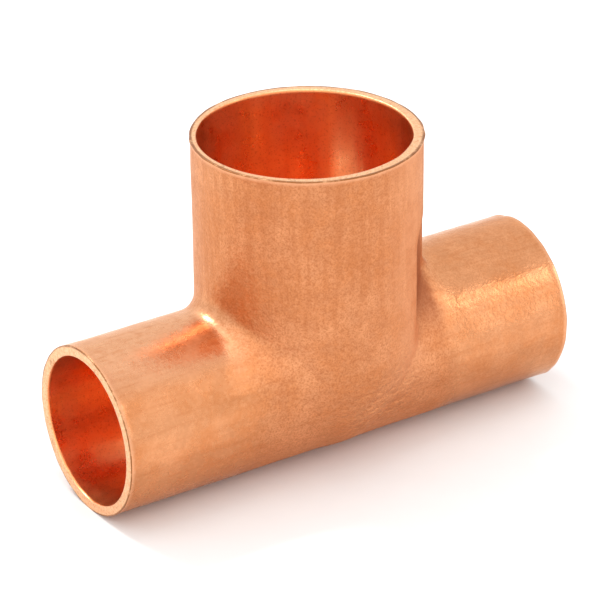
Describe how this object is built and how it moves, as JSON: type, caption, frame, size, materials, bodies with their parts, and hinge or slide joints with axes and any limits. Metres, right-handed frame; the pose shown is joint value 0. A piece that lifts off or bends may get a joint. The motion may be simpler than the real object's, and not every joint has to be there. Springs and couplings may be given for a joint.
{
  "type": "tee fitting",
  "caption": "Copper solder-joint reducing tee: a straight run with two equal tube sockets, and a larger tube socket on the branch.",
  "frame": {"origin": "under the branch's axis, on the surface that the run rests on; the run's axis is 9.08 mm above it", "axes": "+X along the run, +Z along the branch, out of its socket"},
  "size_m": [0.0548, 0.024, 0.0356],
  "materials": {
    "copper": "satin, as formed and pickled"
  },
  "bodies": {
    "root": {"tee_body": "copper"}
  },
  "joints": []
}
